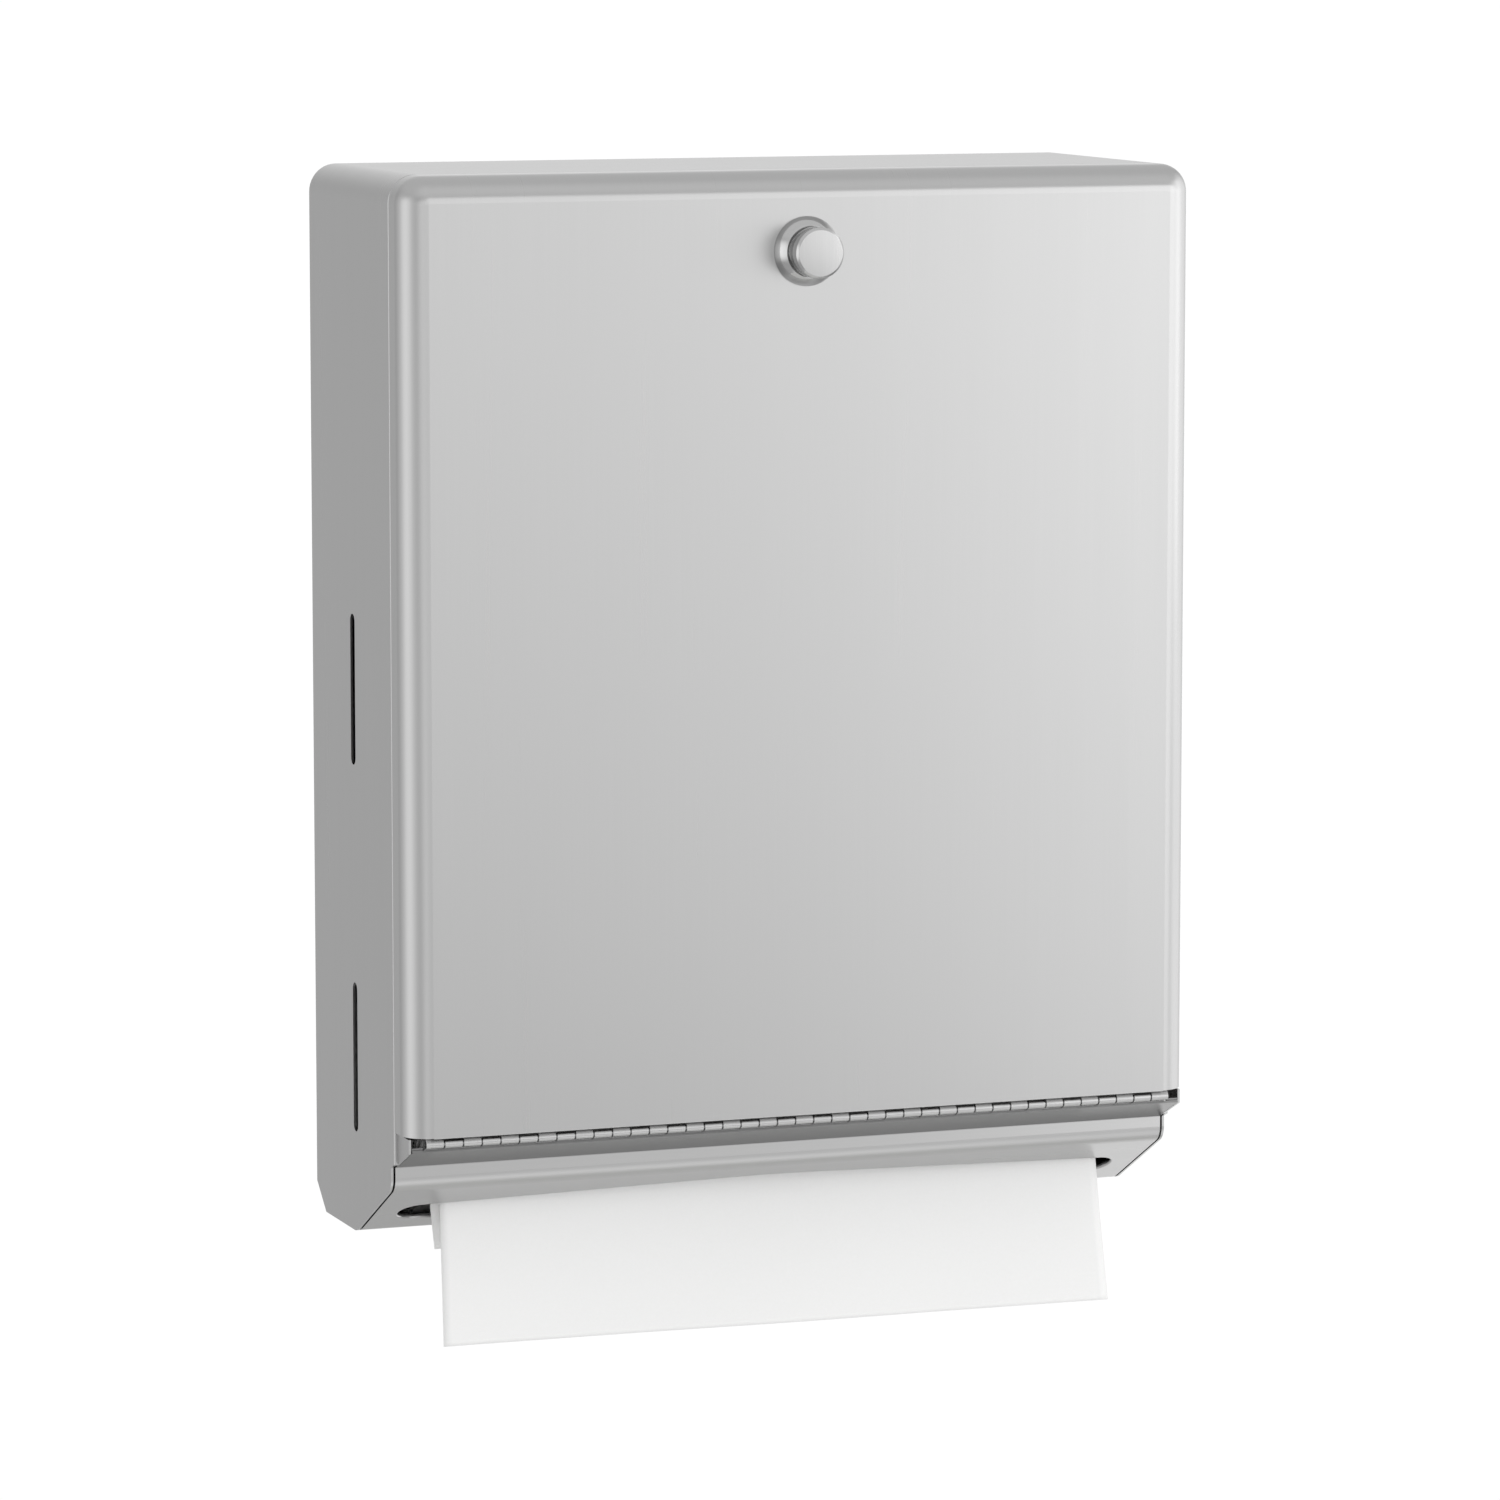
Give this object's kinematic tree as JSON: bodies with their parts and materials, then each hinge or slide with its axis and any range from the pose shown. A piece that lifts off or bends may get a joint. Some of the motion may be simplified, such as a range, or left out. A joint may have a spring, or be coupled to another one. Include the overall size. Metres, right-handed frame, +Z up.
{
  "type": "paper towel dispenser",
  "caption": "Wall-mounted satin stainless cabinet for folded paper towels, with a bottom-hinged door, knob latch, refill slots and a slotted tray.",
  "frame": {"origin": "centre of the four wall-screw holes, on the back face that lies against the wall", "axes": "+Y into the wall, along the screws; +Z up, along the cabinet's height; +X to the right seen from the front"},
  "size_m": [0.275, 0.1171, 0.3884],
  "materials": {
    "satin_stainless": "satin, vertical grain",
    "hinge_steel": "mill finish",
    "plain_steel": "zinc plated",
    "bright_chrome": "polished",
    "satin_chrome": "satin",
    "white_paper": "soft, matte"
  },
  "bodies": {
    "cabinet": {"cabinet_shell": "satin_stainless", "back_panel": "satin_stainless", "towel_tray": "satin_stainless", "latch_strike": "plain_steel", "hinge_tray_leaf": "hinge_steel", "hinge_pin": "hinge_steel", "towel_stack": "white_paper"},
    "door": {"door_panel": "satin_stainless", "hinge_door_leaf": "hinge_steel", "latch_escutcheon": "bright_chrome", "latch_bushing": "plain_steel", "latch_lock_washer": "plain_steel", "latch_bushing_nut": "plain_steel"},
    "latch": {"latch_knob": "satin_chrome", "latch_spindle": "plain_steel", "latch_spring_washer": "plain_steel", "latch_cam": "plain_steel", "latch_cam_washer": "plain_steel", "latch_cam_nut": "plain_steel"},
    "towel": {"dispensed_towel": "white_paper"}
  },
  "joints": [
    {"name": "door_swing", "type": "hinge", "parent": "cabinet", "child": "door", "pos_m": [0, -0.1019, -0.1475], "axis": [1, 0, 0], "range_deg": [0, 150]},
    {"name": "latch_turn", "type": "hinge", "parent": "door", "child": "latch", "pos_m": [0, -0.1119, 0.1398], "axis": [0, 1, 0], "range_deg": [0, 90]},
    {"name": "towel_pull", "type": "slide", "parent": "cabinet", "child": "towel", "axis": [0, -0.1338, -0.991], "range_m": [0, 0.06]}
  ]
}
